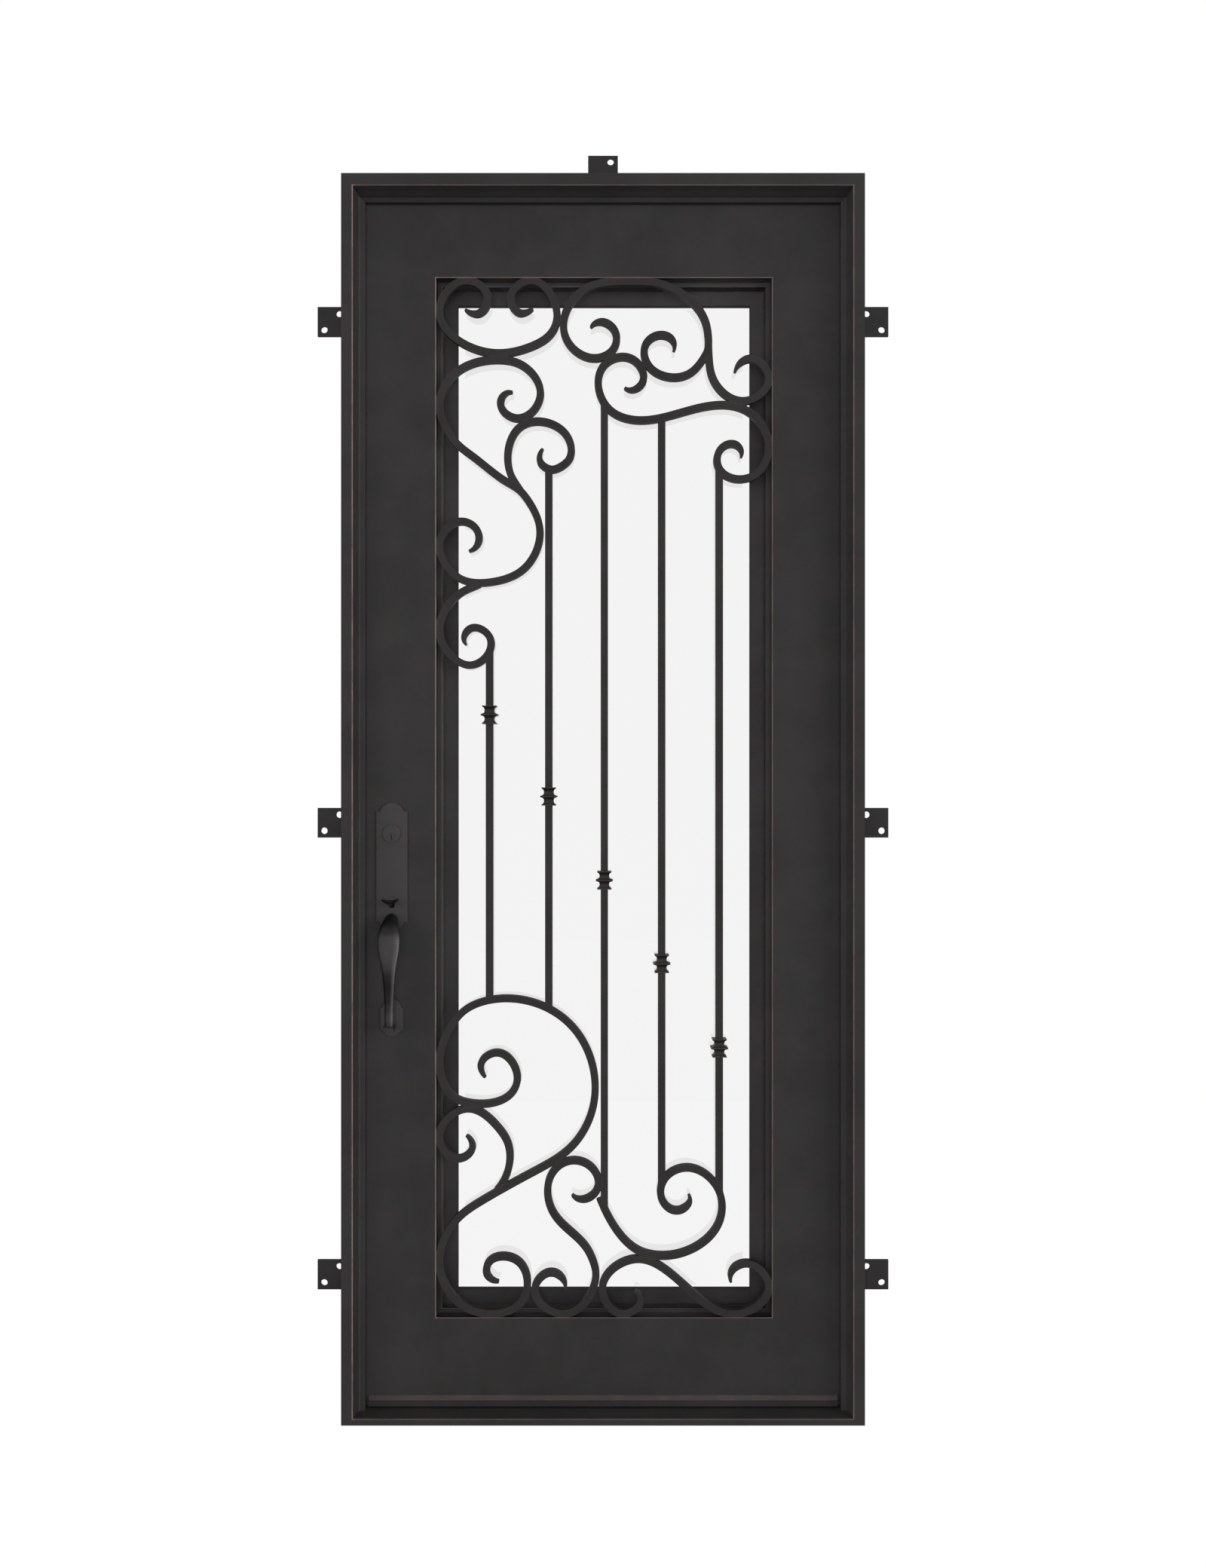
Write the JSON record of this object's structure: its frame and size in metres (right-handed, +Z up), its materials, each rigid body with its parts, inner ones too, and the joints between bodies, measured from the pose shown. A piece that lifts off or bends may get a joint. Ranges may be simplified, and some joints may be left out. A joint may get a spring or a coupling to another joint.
{
  "type": "iron entry door",
  "caption": "Dark bronze iron entry door in its frame: inswing slab with a tall glazed window of forged scrollwork, thumb-latch pull and bolt-on tabs.",
  "frame": {"origin": "middle of the sill's underside, half way through the frame's depth", "axes": "+Z up, -Y towards the street, +X to the right seen from the street"},
  "size_m": [1.131, 0.1729, 2.4935],
  "materials": {
    "bronze": "dark bronze powder coat with hand-rubbed copper edges",
    "wrought": "dark bronze paint over forged bar",
    "collar": "dark bronze with copper highlights on the rims",
    "hardware": "satin dark bronze hardware",
    "hinge_steel": "dark bronze painted steel",
    "glass": "clear insulated glass"
  },
  "bodies": {
    "frame": {"jamb_left": "bronze", "jamb_right": "bronze", "head": "bronze", "sill": "bronze", "stop_left": "bronze", "stop_right": "bronze", "stop_head": "bronze", "tabs_left": "bronze", "tabs_right": "bronze", "tab_top": "bronze", "hinges_frame": "hinge_steel", "strikes": "hardware"},
    "door": {"hinges_door": "hinge_steel", "stile_lock": "bronze", "stile_hinge": "bronze", "rail_top": "bronze", "rail_bottom": "bronze", "drip_bar": "bronze", "lip_sides": "bronze", "lip_ends": "bronze", "glass": "glass", "sash_sides": "bronze", "sash_ends": "bronze", "collars": "collar", "plate_upper": "hardware", "plate_lower": "hardware", "lock_cylinder": "hardware", "grip": "hardware", "inside_lever": "hardware", "inside_turn": "hardware", "edge_plates": "hardware", "scroll_01": "wrought", "scroll_02": "wrought", "scroll_03": "wrought", "scroll_04": "wrought", "scroll_05": "wrought", "scroll_06": "wrought", "scroll_07": "wrought", "scroll_08": "wrought", "scroll_09": "wrought", "scroll_10": "wrought", "scroll_11": "wrought", "scroll_12": "wrought", "bar_1": "wrought", "bar_2": "wrought", "bar_3": "wrought", "bar_4": "wrought", "bar_5": "wrought"},
    "thumb_latch": {"thumb_latch": "hardware"},
    "key_plug": {"key_plug": "hardware"}
  },
  "joints": [
    {"name": "door_swing", "type": "hinge", "parent": "frame", "child": "door", "pos_m": [0.483, 0.0755, 0.27], "axis": [0, 0, -1], "range_deg": [0, 100]},
    {"name": "thumb_press", "type": "hinge", "parent": "door", "child": "thumb_latch", "pos_m": [-0.4182, -0.003, 1.011], "axis": [1, 0, 0], "range_deg": [0, 14], "stiffness_Nm_per_rad": 0.6, "springref_deg": -20.05},
    {"name": "key_turn", "type": "hinge", "parent": "door", "child": "key_plug", "pos_m": [-0.4182, -0.01, 1.1438], "axis": [0, -1, 0], "range_deg": [-90, 90]}
  ]
}
